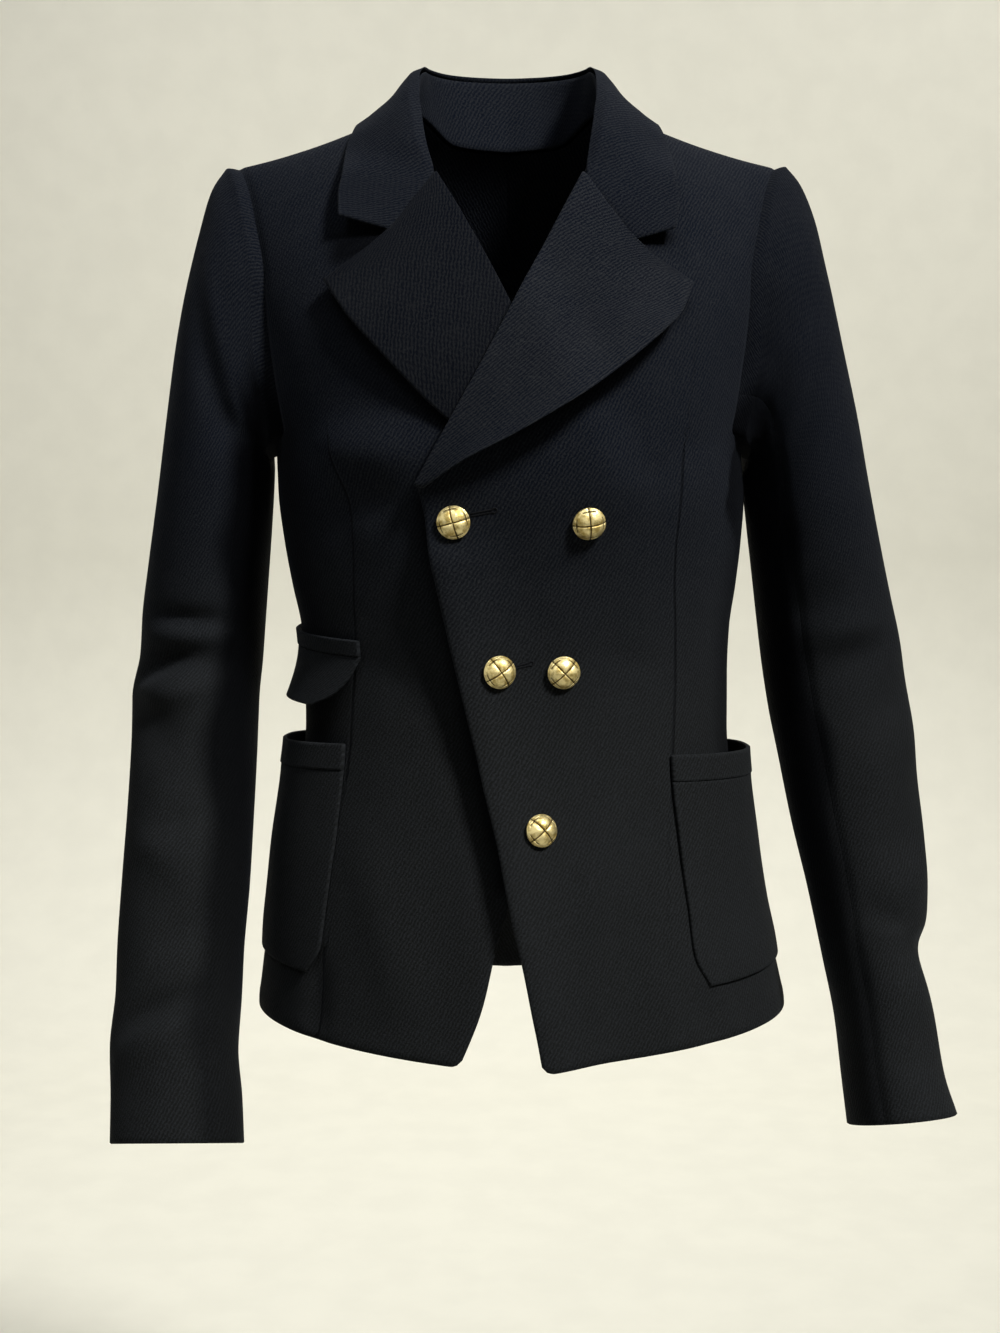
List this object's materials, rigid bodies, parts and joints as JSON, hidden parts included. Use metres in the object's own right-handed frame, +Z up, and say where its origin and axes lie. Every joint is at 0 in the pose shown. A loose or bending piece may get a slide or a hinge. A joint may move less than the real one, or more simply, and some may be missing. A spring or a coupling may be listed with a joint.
{
  "type": "double-breasted blazer",
  "caption": "Fitted double-breasted blazer in dark navy wool twill, with wide peaked lapels, domed metal buttons, patch pockets, a ticket pocket and cut-away fronts.",
  "frame": {"origin": "between the shoulders, on the centre line, level with the place where the shoulder seams meet the neck, where the wearer carries the blazer", "axes": "+Z up towards the collar, the blazer faces -Y, +X towards the wearer's left sleeve"},
  "size_m": [0.5578, 0.2637, 0.7267],
  "materials": {
    "back_left": "matte dark navy wool twill",
    "back_right": "matte dark navy wool twill",
    "front_left": "matte dark navy wool twill",
    "front_right": "matte dark navy wool twill",
    "lapel_left": "matte dark navy wool twill",
    "lapel_right": "matte dark navy wool twill",
    "collar": "matte dark navy wool twill",
    "collar_stand": "matte dark navy wool twill",
    "top_sleeve_left": "matte dark navy wool twill",
    "under_sleeve_left": "matte dark navy wool twill",
    "top_sleeve_right": "matte dark navy wool twill",
    "under_sleeve_right": "matte dark navy wool twill",
    "pocket_left": "matte dark navy wool twill",
    "pocket_band_left": "matte dark navy wool twill",
    "pocket_right": "matte dark navy wool twill",
    "pocket_band_right": "matte dark navy wool twill",
    "ticket_welt": "matte dark navy wool twill",
    "ticket_flap": "matte dark navy wool twill",
    "button_1": "dark antique brass, satin",
    "button_2": "dark antique brass, satin",
    "button_3": "dark antique brass, satin",
    "button_4": "dark antique brass, satin",
    "button_5": "dark antique brass, satin"
  },
  "bodies": {
    "root": {"back_left": "back_left", "back_right": "back_right", "front_left": "front_left", "front_right": "front_right", "lapel_left": "lapel_left", "lapel_right": "lapel_right", "collar": "collar", "collar_stand": "collar_stand", "top_sleeve_left": "top_sleeve_left", "under_sleeve_left": "under_sleeve_left", "top_sleeve_right": "top_sleeve_right", "under_sleeve_right": "under_sleeve_right", "pocket_left": "pocket_left", "pocket_band_left": "pocket_band_left", "pocket_right": "pocket_right", "pocket_band_right": "pocket_band_right", "ticket_welt": "ticket_welt", "ticket_flap": "ticket_flap", "button_1": "button_1", "button_2": "button_2", "button_3": "button_3", "button_4": "button_4", "button_5": "button_5"}
  },
  "joints": []
}
